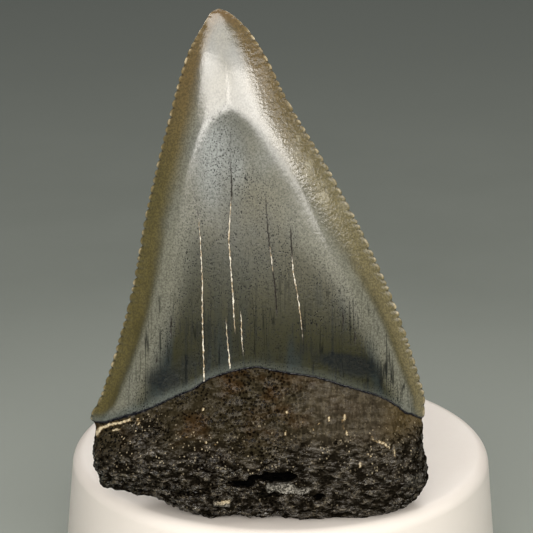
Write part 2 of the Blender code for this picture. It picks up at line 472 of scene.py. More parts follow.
# %% The outline, seen from the front
TOOTH_X, TOOTH_Y = -2.4, -15.5
CONTACT_GAP = 0.3
TOOTH_Z = STAND_FLOOR + CONTACT_GAP
TOOTH_HEIGHT = 55.65
TIP_X = -4.45
LEFT_EDGE = [
    (0, -17), (0.5, -18), (1.6, -18.7), (4, -19.1), (8.6, -18.7), (9.8, -19.2), (12, -18.2),
    (17.6, -16.3), (25, -14.3), (33.1, -12.75), (43.7, -10.1), (50.7, -8), (54.1, -6.1), (55.3, -5.3),
    (TOOTH_HEIGHT, TIP_X),
]
RIGHT_EDGE = [
    (0, 17), (0.5, 18), (1.6, 18.9), (3.4, 19.1), (5.5, 18.7), (9.3, 18.4), (10.2, 18.6), (12, 18.6),
    (14.8, 17.9), (21.3, 15.8), (28.6, 12.7), (37.6, 8), (46.3, 2.8), (50, 0.95), (53.3, -1.2),
    (54.5, -2.4), (55.3, -3.5), (TOOTH_HEIGHT, TIP_X),
]
for height in (10, 30, 50):
    width = along(RIGHT_EDGE, height) - along(LEFT_EDGE, height)
    print(f"at {height} mm it is {width:.1f} mm wide")

# %% How far a point is from each cutting edge
EDGE_REACH = 2
SLOPE_ENDS_AT = 54.9
RIDGE_ROUNDING = 1.5


def from_edges(height, x):
    """Distances in mm from the left and the right edge, square to each."""
    found = []
    over = SLOPE_ENDS_AT - 0.5 * np.log1p(np.exp((SLOPE_ENDS_AT - height - EDGE_REACH) / 0.5))
    under = height - EDGE_REACH
    for edge, inward in ((LEFT_EDGE, 1), (RIGHT_EDGE, -1)):
        slope = (along(edge, over) - along(edge, under)) / (over - under)
        found.append(inward * (x - along(edge, height)) / np.hypot(1, slope))
    return found


def nearer_edge(height, x):
    """The distance in from the nearer edge, rounded over where both are as near."""
    left, right = from_edges(height, x)
    rounding = RIDGE_ROUNDING * (1 - np.exp(-0.5 * np.maximum(left + right, 1e-3) / RIDGE_ROUNDING))
    nearer, farther = np.minimum(left, right), np.maximum(left, right)
    return np.maximum(nearer - rounding * np.log1p(np.exp((nearer - farther) / rounding)), 0)


print("from the edges at 30 mm:", np.round(from_edges(30, 0), 2))

# %% How thick it is, to the front and to the back of the plane of its edges
CROWN_BACK = [(9, 3.4), (17, 3), (30, 2.4), (46, 1.6), (56, 1.2)]
BEVEL_BACK = [(9, 5.5), (46, 4.5)]
EDGE_SLOPE = 0.8
SWELL = [(9, 6), (25, 5), (36, 4.2), (56, 4.2)]
TIP_TAPER = [
    (38, 1), (42, 0.98), (44, 0.95), (46, 0.9), (48, 0.84), (50, 0.785), (52, 0.73), (54, 0.66),
    (56, 0.57),
]
FLAT_DEPTH = [
    (9, 4.2), (17, 3.47), (25, 2.72), (30, 2.28), (36, 1.86), (41, 1.68), (43.5, 1.64), (56, 1.64),
]
FLAT_BULGE = 0.5
SHOULDER = [(9, 1.4), (25, 1), (33, 0.4), (40, 0.24), (45, 0.1)]
ROOT = {
    "front": [(0, 5.3), (0.7, 6.1), (2, 6.6), (5, 6.9), (8, 6.4), (12, 5.3), (17.5, 4)],
    "back": [(0, 2.6), (0.7, 3.4), (2, 4), (5, 4.5), (8, 4.2), (12, 3.2), (17.5, 2.5)],
}
ROOT_SQUARENESS = 6
ROOT_END_TAPER = 0.12
BORDER = {
    "front": [
        (-19.2, 9.4), (-18.1, 9.63), (-16.9, 10.12), (-15, 10.98), (-13.1, 11.7), (-11.2, 12.68),
        (-8.9, 13.92), (-7.5, 14.55), (-6.2, 15.44), (-5, 16.04), (-3.3, 16.6), (-1.5, 17.04), (-0.2, 17.16),
        (1.1, 16.85), (3.6, 16.4), (5.5, 16.09), (7.3, 15.61), (9.2, 14.94), (11.1, 14.28), (13, 13.55),
        (14.5, 12.69), (15.7, 11.71), (16.4, 11.03), (17.4, 10.56), (18.2, 9.93), (18.6, 9.8),
    ],
    "back": [(-19.2, 9.7), (-12, 10.8), (0, 12.6), (12, 10.9), (18.5, 10)],
}
BLEND_MIDDLE = 5
BLEND_ENDS = 2.4


def crown_front(height, x, u):
    """A swell in from each edge, rolling back at the tip, with a flatter face cut across it."""
    reach = along(SWELL, height)
    swell = EDGE_SLOPE * reach * (1 - np.exp(-nearer_edge(height, x) / reach)) * along(TIP_TAPER, height)
    face = along(FLAT_DEPTH, height) + FLAT_BULGE * (1 - u * u)
    width = along(SHOULDER, height)
    share = np.clip(0.5 + 0.5 * (face - swell) / width, 0, 1)
    return face * (1 - share) + swell * share - width * share * (1 - share)


def crown_back(height, x, u):
    """A cutting bevel that eases onto a flat."""
    t = np.minimum(nearer_edge(height, x) / along(BEVEL_BACK, height), 1)
    return along(CROWN_BACK, height) * (t + t * t - t**3)


def thickness(side, height, x, u):
    """Half the tooth's thickness: the crown, easing into the root under the enamel."""
    crown = (crown_front if side == "front" else crown_back)(height, x, u)
    ends = np.sqrt(np.maximum(1 - np.abs(u) ** ROOT_SQUARENESS, 0))
    root = along(ROOT[side], height) * ends * (1 - ROOT_END_TAPER * u * u)
    line = along(BORDER[side], x)
    reach = BLEND_MIDDLE + (BLEND_ENDS - BLEND_MIDDLE) * u**4
    is_crown = ease(line - reach, line + 0.3, height)
    return np.maximum(is_crown * crown + (1 - is_crown) * root, 0)


print(f"in front, 5 mm up: {thickness('front', 5, 0, 0):.2f} mm thick")

# %% Where a point lies
LEAN = 0.05
LEAN_CURVE = 0.0011
BASE_LIFT = [
    (-18, 2.1), (-15.5, 2.6), (-13, 2.5), (-9.5, 1.4), (-5.2, 0.35), (-2, 0.4), (1.5, 0.35), (5, 0.05),
    (8.5, 0), (12.5, 0), (15, 0.2), (17, 0.6), (19, 1),
]
LIFT_FADES_AT = 8


def middle_plane(height):
    """How far back the plane of the cutting edges is: it leans, and bends back a little."""
    return LEAN * height + LEAN_CURVE * height**2


def surface(height, u, front):
    """Points in mm in the tooth's frame. front is 1 on the front, 0 behind."""
    left, right = along(LEFT_EDGE, height), along(RIGHT_EDGE, height)
    x = (left + right) / 2 + u * (right - left) / 2
    depth = np.where(front, -thickness("front", height, x, u), thickness("back", height, x, u))
    y = middle_plane(height) + depth
    low = 1 - ease(0, LIFT_FADES_AT, height)
    z = height + (along(BASE_LIFT, x) - CONTACT_GAP) * low
    return np.stack([x, y, z], axis=-1)


print("tip:", surface(TOOTH_HEIGHT, 0, 1).round(2))

# %% The rings, with their points closer together at the cutting edges
FRONT_COLUMNS = 142
BACK_COLUMNS = 96
SAMPLES = 700
EDGE_FINENESS = 2.5
EDGE_ZONE = 0.6
ROOT_ROWS = np.arange(0, 17.95, 0.165)
CROWN_ROWS = np.arange(18, 55.3, 0.155)
TIP_ROWS = np.array([55.38, 55.48, 55.56, 55.61])
heights = np.concatenate([ROOT_ROWS, CROWN_ROWS, TIP_ROWS])


def even_columns(front, count):
    """For each ring, the u of points spread evenly along one face, and more densely near the edges."""
    u = np.broadcast_to(-np.cos(np.pi * np.linspace(0, 1, SAMPLES)), (len(heights), SAMPLES))
    tall = np.broadcast_to(heights[:, None], u.shape)
    steps = np.linalg.norm(np.diff(surface(tall, u, np.full(u.shape, front)), axis=1), axis=2)
    run = np.cumsum(steps, axis=1)
    middle = run - steps / 2
    inward = np.minimum(middle, run[:, -1:] - middle)
    weighted = np.cumsum(steps * (1 + EDGE_FINENESS * np.exp(-inward / EDGE_ZONE)), axis=1)
    weighted = np.pad(weighted, ((0, 0), (1, 0)))
    places = np.linspace(0, 1, count + 1)
    return np.array([np.interp(places * row[-1], row, u[0]) for row in weighted])


front_u = even_columns(1, FRONT_COLUMNS)
back_u = even_columns(0, BACK_COLUMNS)
ring_u = np.concatenate([front_u, back_u[:, -2:0:-1]], axis=1)
ring_front = np.zeros(ring_u.shape, int)
ring_front[:, : FRONT_COLUMNS + 1] = 1
ring_height = np.broadcast_to(heights[:, None], ring_u.shape)
points = surface(ring_height, ring_u, ring_front)
print("rings:", points.shape[0], "of", points.shape[1], "points")

# %% Directions square to the surface
def outward(grid):
    """The outward direction at each point of a grid of rings."""
    around = np.roll(grid, -1, axis=1) - np.roll(grid, 1, axis=1)
    upward = np.gradient(grid, axis=0)
    facing = np.cross(around, upward)
    return facing / np.maximum(np.linalg.norm(facing, axis=2, keepdims=True), 1e-9)


facing = outward(points)
x, y, z = points[..., 0], points[..., 1], points[..., 2]
print("the front faces -Y:", bool(facing[100, FRONT_COLUMNS // 2, 1] < 0))

# %% [markdown]
# ## Serrations
#
# A great white's tooth cuts like a saw: both edges carry small rounded points about a millimetre apart,
# parted by sharp notches. Each notch is also a groove that fades a little way in from the edge. A boolean
# cut would leave hard rims, so the mesh's own points are moved in. The count follows the length along the
# edge, not the height, so the points stay the same size where it curves.

# %% Cut the serrations
SERRATION_PITCH = 0.97
SERRATION_DEPTH = [(9, 0), (11, 0.12), (14, 0.24), (30, 0.3), (46, 0.26), (52, 0.13), (55, 0.02)]
SERRATION_REACH = 0.3
GROOVE_SHARE = 0.4
GROOVE_REACH = 0.4


def serration(edge, seed):
    """For each ring: the count of points up to it, a whole number in each notch, and the notches' depth."""
    rise = np.gradient(heights)
    length = np.cumsum(np.hypot(rise, np.gradient(along(edge, heights))))
    wander = np.array([noise.noise(Vector((run * 0.4, seed, 0))) for run in length])
    size = np.array([noise.noise(Vector((run * 0.8, seed, 5))) for run in length])
    count = length / SERRATION_PITCH + 0.8 * wander
    depth = along(SERRATION_DEPTH, heights) * (1 + 0.7 * size)
    return count, depth


left_count, left_depth = serration(LEFT_EDGE, 3)
right_count, right_depth = serration(RIGHT_EDGE, 8)
from_left, from_right = from_edges(ring_height, x)
left_side = from_left < from_right
edge_distance = np.maximum(np.where(left_side, from_left, from_right), 0)
saw_count = np.where(left_side, left_count[:, None], right_count[:, None])
notch = 1 - np.abs(np.sin(np.pi * saw_count)) ** 0.7
cut = np.where(left_side, left_depth[:, None], right_depth[:, None]) * notch
points[..., 0] += np.where(left_side, 1, -1) * cut * np.exp(-edge_distance / SERRATION_REACH)
groove = GROOVE_SHARE * (cut / left_depth.max()) * np.exp(-edge_distance / GROOVE_REACH)
plane = middle_plane(ring_height)
points[..., 1] = plane + (y - plane) * (1 - groove)
print("serrations on the left:", int(left_count[-1] - left_count[0]))

# %% [markdown]
# ## The root's relief
#
# The root is bone: once full of fine canals, then buried, stained and worn. Near the enamel it is nearly
# smooth, with fine pores. Lower down it has level ridges with deep hollows between them. Relief this size
# is real mesh, because it shows in the outline and throws shadows. Several sizes of noise do the rough
# ground, and the few hollows that everyone would notice are placed one by one.

# %% Rough ground: smooth swells, and knobs with sharp creases between them
WORN_BELOW, SMOOTH_ABOVE = 3.5, 12.5


def knobs(size, seed):
    """Rounded knobs of a size in mm: below 0 in the sharp creases between them, above 0 on top."""
    return np.abs(lumps(points, size, seed)) - 0.25


wear = 1 - ease(WORN_BELOW, SMOOTH_ABOVE, ring_height + 3 * lumps(points, 5, 40))
below = along(BORDER["front"], x) * ring_front + along(BORDER["back"], x) * (1 - ring_front) - z
root_part = ease(0.1, 1, below)
calm_ends = 1 - 0.6 * ease(0.93, 0.99, np.abs(ring_u))
rough = wear * calm_ends
swells = 0.35 * lumps(points, 5, 1) + 0.12 * lumps(points, 1.8, 2)
swells += (0.08 + 0.36 * rough) * knobs((2, 2, 1.2), 3)
ground = (0.1 + 0.34 * rough) * knobs((0.85, 0.85, 0.7), 4)
ground += (0.1 + 0.17 * rough) * knobs((0.46, 0.46, 0.4), 6)
pit_distance, pit_luck = pores(points, 1, 5)
pits = (1 - ease(0.12, 0.36, pit_distance)) * (pit_luck > 0)
ground -= (0.08 + 0.16 * rough) * pits
relief = (swells + ground) * root_part
print(f"rough ground: {relief.min():.2f} to {relief.max():.2f} mm")

# %% Hollows and bumps that show, placed one by one
#          x      z   half-width  half-height  depth  (a bump has a negative depth)
HOLLOWS = [
    (1.76, 5.5, 2.7, 0.7, 1.9), (-2.05, 4.6, 1.9, 0.5, 1.2), (0.9, 3.4, 1.5, 0.3, 0.7),
    (6.5, 2.9, 0.7, 0.5, 1.1), (5.7, 0.9, 1.3, 0.28, 0.9), (8.4, 9.25, 0.34, 0.34, 0.7),
    (-13.5, 3.1, 2.2, 0.4, 0.6), (-8.7, 3.4, 2, 0.35, 0.5), (12.8, 4.2, 2.2, 0.3, 0.5),
    (9.6, 2.5, 1.8, 0.28, 0.5), (2.5, 4.35, 2.1, 0.6, -0.8), (4.6, 4, 1, 0.5, -0.5),
    (-4.2, 2.4, 1.1, 0.45, -0.4), (17.2, 4.2, 1.2, 1, -0.25),
]
hollow, knob = np.zeros((2, *x.shape))
torn = 1.15 + 0.9 * lumps(points, 0.9, 50)
for centre_x, centre_z, half_x, half_z, depth in HOLLOWS:
    across = np.abs(x - centre_x) / half_x
    over = (z - centre_z) / half_z
    over = np.where(over > 0, over * 1.15, over)
    shape = np.clip(torn - (across**2.4 + np.abs(over) ** 2.4), 0, 1)
    dent = depth * ease(0, 0.75, shape) * ring_front
    relief -= dent
    hollow = np.maximum(hollow, dent)
    knob = np.maximum(knob, -dent)
print(f"deepest hollow: {hollow.max():.2f} mm")

# %% The step under the enamel
STEP = 0.16
GROOVE = 0.1
REST_GAP = 0.02
relief -= STEP * ease(-0.05, 0.35, below)
relief -= GROOVE * np.exp(-((below - 0.12) / 0.16) ** 2)
points += facing * relief[..., None]
from_axis = np.hypot(x + TOOTH_X, y + TOOTH_Y)
points[..., 2] = np.maximum(z, bowl_height(from_axis) - TOOTH_Z + REST_GAP)
print(f"surface moved by {relief.min():.2f} to {relief.max():.2f} mm")

# %% [markdown]
# ## Measures for the finish
#
# The finish follows the anatomy: the enamel darkens towards its base, bands run along its edges, cracks run
# up from the root. Painted on an image, a crack would be as coarse as the image's dots. So each point
# stores a few measures in millimetres, such as how far it is from the enamel's border or from a crack, and
# a shader cuts a line from such a distance much finer than the mesh.

# %% Cracks: lines up the crown, each with a width and a filling
#          (height, x, half-width, filling: 0 is an open dark crack, 1 is packed with pale mineral)
CRACKS = [
    [(17.2, -11.5, 0.05, 0), (19.2, -11.5, 0, 0)],
    [(20, -9.87, 0.03, 0), (21.6, -9.87, 0.05, 0), (23.4, -9.87, 0, 0)],
    [(15.4, -6.22, 0.07, 1), (18.95, -6.29, 0.07, 1), (22.6, -6.38, 0.07, 0.9), (26.4, -6.37, 0.06, 0.9),
     (31.1, -6.57, 0.05, 0.75), (33.2, -6.72, 0.03, 0.5), (34.9, -6.98, 0.02, 0), (37.4, -7.4, 0.02, 0),
     (38.7, -7.59, 0.02, 0), (41, -7.6, 0, 0)],
    [(16.9, -3.33, 0.07, 1), (18.7, -3.47, 0.07, 1), (20.9, -3.69, 0.05, 0.8), (23.5, -3.8, 0, 0.6)],
    [(20.3, -2.7, 0, 1), (22.4, -2.85, 0.06, 1), (25.4, -3.02, 0.08, 1), (28.2, -3.23, 0.08, 0.95),
     (31.2, -3.41, 0.07, 0.95), (34.1, -3.29, 0.06, 0.8), (36.4, -3.1, 0.05, 0.15),
     (40.2, -3.24, 0.02, 0.1), (42.8, -3.27, 0.02, 0), (45.1, -3.52, 0, 0)],
    [(17.5, -1.75, 0, 0.7), (20.2, -2, 0.05, 0.8), (22.8, -2.1, 0.04, 0.8), (23.8, -2.14, 0, 0.8)],
    [(21.2, 1.92, 0, 0), (24.6, 1.76, 0.05, 0), (26.8, 1.54, 0.05, 0.1), (28.3, 1.35, 0.05, 0.65),
     (29.8, 1.17, 0.05, 0.6), (31, 0.98, 0.04, 0.1), (35, 0.66, 0.03, 0), (38.2, 0.55, 0, 0)],
    [(19.3, 4.8, 0, 0), (20.4, 4.72, 0.05, 0.3), (22.3, 4.52, 0.05, 0.75), (24.9, 4.15, 0.05, 0.75),
     (28.2, 3.59, 0.06, 0.8), (29.6, 3.5, 0.05, 0.3), (31.9, 3.4, 0.04, 0), (33.4, 3.4, 0, 0)],
    [(20.2, 9.15, 0, 0), (22.2, 9.18, 0.05, 0), (24.3, 9.18, 0, 0)],
    [(18.3, 10.5, 0, 0), (20.3, 10.52, 0.04, 0), (21.9, 10.52, 0, 0)],
]

nearest, side = np.full(x.shape, 1e3), np.ones(x.shape)
crack_width, crack_filling = np.zeros((2, *x.shape))
for knots in CRACKS:
    up, line, half, fill = np.array(knots).T
    offset = x - along(list(zip(up, line)), z)
    side *= np.sign(offset + 1e-12)
    closer = np.abs(offset) < nearest
    nearest = np.where(closer, np.abs(offset), nearest)
    crack_width = np.where(closer, np.interp(z, up, half, 0, 0), crack_width)
    crack_filling = np.where(closer, np.interp(z, up, fill), crack_filling)
crack = nearest * side
crack_width *= ring_front
print("cracks:", len(CRACKS))

# %% Stains, where minerals coloured the enamel dark, and patches of painted sheen
#          x      z    half-width  half-height  strength
STAINS = [
    (-10.6, 15.3, 2.6, 1.5, 0.9), (-7.8, 17.4, 2.4, 1.5, 0.55), (-6.4, 21, 2.2, 2.2, 0.5),
    (-2.6, 19.2, 1.2, 2.4, 0.45), (1.5, 18, 2.6, 1, 0.35), (5.2, 19.2, 2, 1, 0.45),
    (8.2, 17.9, 2.4, 0.8, 0.9), (10.8, 16.8, 2.6, 1.2, 1), (13.6, 15.9, 1.6, 1, 0.4),
]
# Paler bluish patches of painted sheen, where the highlights fade on the upper face and down the right
# shoulder; the three small ones also mark chips on the right bevel.
SHEEN_AND_CHIP_SPOTS = [
    (-5, 41.5, 1.8, 3, 1), (-5.6, 37, 2, 3.6, 0.7), (-2.4, 38.8, 1, 2, 0.7), (0.5, 40, 1.4, 2.4, 0.4),
    (9.6, 31.5, 1.8, 3.6, 0.6), (4.1, 41.3, 0.3, 0.9, 0.9), (5.3, 38.6, 0.45, 1.2, 0.7),
    (6.9, 35.6, 0.6, 1.4, 0.6),
]


def patches(spots):
    """Soft round patches, added together and no stronger than 1."""
    total = np.zeros(x.shape)
    for centre_x, centre_z, half_x, half_z, amount in spots:
        total += amount * np.exp(-(((x - centre_x) / half_x) ** 2) - ((z - centre_z) / half_z) ** 2)
    return np.minimum(total, 1)


stain = patches(STAINS)
haze = patches(SHEEN_AND_CHIP_SPOTS) * ring_front
print(f"stained share of the surface: {np.mean(stain > 0.3):.3f}")

# %% Bands along the edges, wider high on the right
BAND_LEFT = [(9, 1.4), (20, 2.1), (32, 2.3), (44, 2.3), (50, 1.7), (55, 0.9)]
BAND_RIGHT = [(9, 1.2), (20, 1.8), (26, 2.2), (32, 2.9), (40, 3.2), (47, 2.8), (52, 1.8), (55, 1)]
band_width = np.where(left_side, along(BAND_LEFT, ring_height), along(BAND_RIGHT, ring_height))
band = edge_distance / band_width
print(f"band widths: {band_width.min():.1f} to {band_width.max():.1f} mm")

# %% Pale marks on the root: scratches and grains of sand, each a short line
#          from x   z      to x    z    half-width
PALE_MARKS = [
    (-18.5, 8.2, -18, 8.9, 0.22), (-18, 8.9, -17, 9.55, 0.16), (-17, 9.6, -15.6, 10.06, 0.15),
    (-15.6, 10.1, -14.5, 10.57, 0.13), (-13.65, 10.7, -13.6, 10.1, 0.14),
    (-16.6, 9.1, -15.86, 9.42, 0.12), (9.35, 11.8, 9.3, 11.3, 0.17), (9.3, 10.9, 9.4, 10.45, 0.12),
    (9.4, 10.45, 9.6, 10, 0.12), (7.65, 11.65, 7.6, 11.45, 0.16), (6.62, 11.3, 6.56, 11.15, 0.13),
    (6, 10.65, 5.96, 10.45, 0.11), (4.86, 11.5, 4.82, 11.35, 0.12), (12.3, 9.65, 12.5, 9.3, 0.12),
    (13, 9.2, 13.8, 8.8, 0.14), (13.9, 8.7, 14.4, 8.2, 0.12), (14.95, 7.9, 15.1, 7.3, 0.12),
    (11, 7.1, 11.1, 6.6, 0.11), (12, 7.9, 12.3, 7.6, 0.12), (2.92, 12.45, 2.88, 12.25, 0.12),
    (2.72, 10.25, 2.76, 10.05, 0.12), (-6.35, 12.6, -6.3, 12.45, 0.14),
    (-7.34, 10.22, -7.3, 10.1, 0.13), (-8.24, 9.88, -8.2, 9.8, 0.13), (-6.04, 9.3, -6, 9.1, 0.14),
    (-4.86, 9.05, -4.82, 8.95, 0.13), (-4.9, 2.5, -3.4, 2.6, 0.2),
]
pale = np.zeros(x.shape)
for x0, z0, x1, z1, half in PALE_MARKS:
    run, rise = x1 - x0, z1 - z0
    share = np.clip(((x - x0) * run + (z - z0) * rise) / (run**2 + rise**2), 0, 1)
    away = np.hypot(x - x0 - share * run, z - z0 - share * rise)
    pale = np.maximum(pale, np.clip(1.3 - away / (1.35 * half), 0, 1))
pale *= ring_front
print("pale marks:", len(PALE_MARKS))

# %% Skin the rings and store the measures
measures = dict(
    height=ring_height, below_border=below, edge_distance=edge_distance, band=band, saw_count=saw_count,
    crack=crack, crack_width=crack_width, crack_filling=crack_filling, stain=stain, haze=haze,
    hollow=hollow, knob=knob, ground=ground, wear=wear * root_part, pale=pale,
)
TIP_RISE = 0.03
BASE_INSETS = np.array([0.12, 0.28, 0.44, 0.6, 0.74, 0.85, 0.93, 0.975])

# A closed mesh: smaller rings under the base, then the rings, then a point under and one at the tip
centre = points[0].mean(axis=0)
base = np.stack([centre + (points[0] - centre) * (inset, inset, 1) for inset in BASE_INSETS])
grid = np.concatenate([base, points])
rows, count = grid.shape[:2]
under, tip = grid[0].mean(axis=0), grid[-1].mean(axis=0) + (0, 0, TIP_RISE)
every = np.vstack([grid.reshape(-1, 3), under, tip])
here = np.arange(rows * count).reshape(rows, count)
after = np.roll(here, -1, axis=1)
quads = np.stack([here[:-1], after[:-1], after[1:], here[1:]], axis=-1).reshape(-1, 4).tolist()
caps = [(rows * count, b, a) for a, b in zip(here[0].tolist(), after[0].tolist())]
caps += [(rows * count + 1, a, b) for a, b in zip(here[-1].tolist(), after[-1].tolist())]
tooth_mesh = bpy.data.meshes.new("tooth_shape")
tooth_mesh.from_pydata((every * MM).tolist(), [], quads + caps)
for title, value in measures.items():
    whole = np.concatenate([np.repeat(value[:1], len(BASE_INSETS), axis=0), value]).ravel()
    whole = np.concatenate([whole, [value[0].mean(), value[-1].mean()]]).astype(np.float32)
    tooth_mesh.attributes.new(title, "FLOAT", "POINT").data.foreach_set("value", whole)
tooth_mesh.shade_smooth()
tooth = add_object("fossil_tooth", tooth_mesh)
tooth.location = Vector((TOOTH_X, TOOTH_Y, TOOTH_Z)) * MM
print("tooth:", sum(len(face.vertices) - 2 for face in tooth_mesh.polygons), "triangles")

# %% [markdown]
# ## The enamel's finish
#
# Fossil enamel is a thin glassy coat over dark dentine. It looks grey where it is thick and olive brown
# where light passes through it at the edges. Minerals have crept up from the root as streaks, tints and
# stains, fine threads run up through it, and the whole face is peppered with specks. A few layers are
# painted light: sheen on the upper face and inside the bands, glitter on chips, highlights on the serration
# tips and shade in their notches. The group below mixes those layers one by one, as a painter glazes. It
# puts out the colour, the roughness, how polished the coat is, and a little height for the relief.

# %% Enamel as layers of colour
FINISH = ["Colour", "Roughness", "Polish", "Relief"]
dials = dict.fromkeys(["Height", "Above border", "Edge distance", "Band", "Saw count", "Stain", "Haze"], 0)
enamel_group, bench, given, result = start_group("Enamel", dials, FINISH)
place, level, band_in = given["Place"], given["Height"], given["Band"]
sideways = bench.node("SeparateXYZ", {0: place}, "X")

cloud = place.stretch(1, 1, 0.6).noise(0.16, detail=3)
colour = cloud.ease(0.35, 0.65).mix((96, 98, 92), (106, 104, 90))
# Painted sheen: paler bluish patches where the highlights fade.
colour = given["Haze"].mix(colour, (134, 139, 138))
colour = level.ease(16, 40, 1, 0).mix(colour, (38, 37, 12))

streak = place.stretch(4.2, 0.6, 0.12).noise(detail=3, roughness=0.6)
streak_mask = streak.ease(0.52, 0.7) * level.ease(14, 34, 0.9, 0)
colour = streak_mask.mix(colour, (18, 22, 22))

tint = place.stretch(0.5, 0.3, 0.06).noise(detail=3).ease(0.46, 0.62) * level.ease(16, 30, 0.7, 0)
colour = tint.mix(colour, (30, 42, 48))

# Just inside each band there is a paler strip: partly the grey of thick enamel over dentine, partly painted
# sheen.
inside = band_in.ease(0.85, 1.3) * band_in.ease(1.7, 3, 1, 0) * level.ease(42, 30, 0, 0.8)
colour = inside.mix(colour, (122, 122, 110))

thread = abs(place.stretch(1.5, 0.3, 0.045).noise(detail=1) - 0.5).ease(0, 0.035, 0.85, 0)
broken = place.stretch(1, 0.3, 0.25).noise().ease(0.44, 0.57)
thread = thread * broken * level.ease(18, 34, 1, 0)
colour = thread.mix(colour, (12, 15, 16))

stained = (given["Stain"] + (streak - 0.5) * 1.2).ease(0.15, 0.85, 0, 0.9)
colour = stained.mix(colour, (8, 14, 19))

banded = (band_in + (place.noise(0.5) * 0.3 - 0.15)).ease(0.55, 1.35, 0.95, 0)
band_tone = place.stretch(1, 1, 0.5).noise(0.8).mix((74, 67, 36), (98, 90, 56))
band_tone = sideways.ease(-2, 9, 0, 0.75).mix(band_tone, (118, 110, 82))
band_tone = level.ease(34, 52, 0, 0.65).mix(band_tone, (108, 88, 58))
colour = banded.mix(colour, band_tone)
# Chips high on the right bevel are painted paler: partly chipped enamel, partly painted glitter highlight.
chips_and_glitter = given["Haze"] * banded * level.ease(32, 35.5)
chips_and_glitter = chips_and_glitter * place.noise(0.9, detail=4, roughness=0.65).ease(0.4, 0.58, 0.15, 1)
colour = chips_and_glitter.mix(colour, (166, 160, 138))

strip = (1 - given["Above border"].ease(0.2, 1.3)) * sideways.ease(-9, 0, 0.75, 0.3)
colour = strip.mix(colour, (86, 92, 88))

mottle = place.noise(4.5, roughness=0.6).ease(0.6, 0.4, 0, 0.4)
colour = mottle.mix(colour, (44, 44, 36))
speck_place = place.stretch(1, 1, 0.7)
specks = speckle(speck_place, 0.2, 0.08, 0.85).math("MAXIMUM", speckle(speck_place, 0.55, 0.13, 0.3))
speckled = specks * place.noise(0.3).ease(0.35, 0.6, 0.55, 1)
speckled = speckled * band_in.ease(1.2, 2.6, 0.2, 1) * level.ease(50, 42, 0.2, 1)
colour = speckled.mix(colour, (18, 19, 18))

wave = abs((given["Saw count"] * math.pi).math("SINE"))
# The serration tips are painted paler, partly their worn tan and partly painted highlight where each bead
# catches the light; the notches between them are painted dark, as painted shade.
tip_wear_and_light = place.noise(1.3).ease(0.35, 0.65, 0.25, 1)
tips = given["Edge distance"].ease(0.06, 0.34, 1, 0) * tip_wear_and_light * wave.ease(0.35, 0.8, 0, 0.7)
glint = place.noise(0.9, detail=1).ease(0.45, 0.62)
colour = tips.mix(colour, glint.mix((138, 124, 90), (206, 190, 156)))
notches = given["Edge distance"].ease(0.1, 0.5, 1, 0) * wave.ease(0.36, 0.08, 0, 0.5)
notches = notches * level.ease(50, 54, 1, 0.3)
colour = notches.mix(colour, (38, 32, 18))
colour = level.ease(53.5, 55.6, 0, 0.7).mix(colour, (100, 80, 54))

grain = bench.effect(grain_group, place=place, size=0.5, sharpness=0.65)
dull = (speckled * 0.7).math("MAXIMUM", thread * 0.9)
chipped = place.noise(2.6) * banded * sideways.ease(-5, 1)
relief_out = chipped * 0.045 + grain["Relief"] * 0.012 - speckled * 0.003 - notches * 0.12
roughness = grain["Tone"].ease(0, 1, 0.2, 0.28)
bench.join(result, {"Colour": colour, "Roughness": roughness, "Polish": 1 - dull, "Relief": relief_out})
print("layers of enamel:", len(bench.tree.nodes), "nodes")

# %% [markdown]
# ## The root's finish
#
# The bone is darkest and shiniest where it is worn, because sand polished the ridges. Its hollows, its pores
# and the creases between its domes are painted near black, as painted shade. It is browner and duller near
# the enamel, and pale grains of sand are stuck all over it; some of them stand in for glints, as painted
# highlight. The mesh has the shapes down to a third of a millimetre. Two sizes of small domes, pushed
# crooked
# by noise, carry on from there: crests are painted paler, partly worn pale and partly painted light, and
# their polish catches the light.

# %% Bone turned to stone
DARKEST = (5, 4, 3)


def domes(vector, size):
    """Rounded bumps packed together: 1 on the tops, falling to 0 in the creases."""
    away = vector.cells(1 / size)[0] * 1.3
    return (1 - away * away).math("MAXIMUM", 0)


dials = dict.fromkeys(["Wear", "Hollow", "Knob", "Ground", "Pale"], 0)
root_group, bench, given, result = start_group("Fossil bone", dials, FINISH)
place, wear_in = given["Place"], given["Wear"]
sideways = bench.node("SeparateXYZ", {0: place}, "X")

brown = place.noise(0.25).mix((36, 31, 19), (54, 48, 34))
rust = place.stretch(0.22, 0.3, 0.35).noise(detail=3).ease(0.46, 0.64, 0, 0.7)
brown = rust.mix(brown, (54, 36, 15))
brown = sideways.ease(2, 9, 0, 0.8).mix(brown, (60, 54, 44))
brown = sideways.ease(12.5, 16, 0, 0.6).mix(brown, (84, 70, 40))
fibre = place.stretch(3.4, 1, 1).warp(1.4, 1).noise(detail=3, roughness=0.6)
fibre = fibre.ease(0.38, 0.75) * sideways.ease(-3, 6, 0.1, 0.35)
brown = fibre.mix(brown, (108, 99, 80))
black = place.noise(0.6, detail=3).mix((28, 25, 19), (54, 48, 38))
colour = wear_in.ease(0.1, 0.8).mix(brown, black)

fine = bench.effect(grain_group, place=place, size=0.26, sharpness=0.7)
crooked = place.stretch(0.62, 1, 1.3).warp(0.6, 0.7)
big_dome = domes(crooked, 0.9)
small_dome = domes(crooked, 0.36)
crest = big_dome * 0.6 + small_dome * 0.4 + given["Ground"] * 0.6 + fine["Relief"] * 0.8 - 0.4
# Painted shade: the creases between the domes are painted near black.
crease_shade = crest.ease(0.25, 0.55, 1, 0) * wear_in.ease(0, 0.5, 0.35, 0.75)
colour = crease_shade.mix(colour, DARKEST)
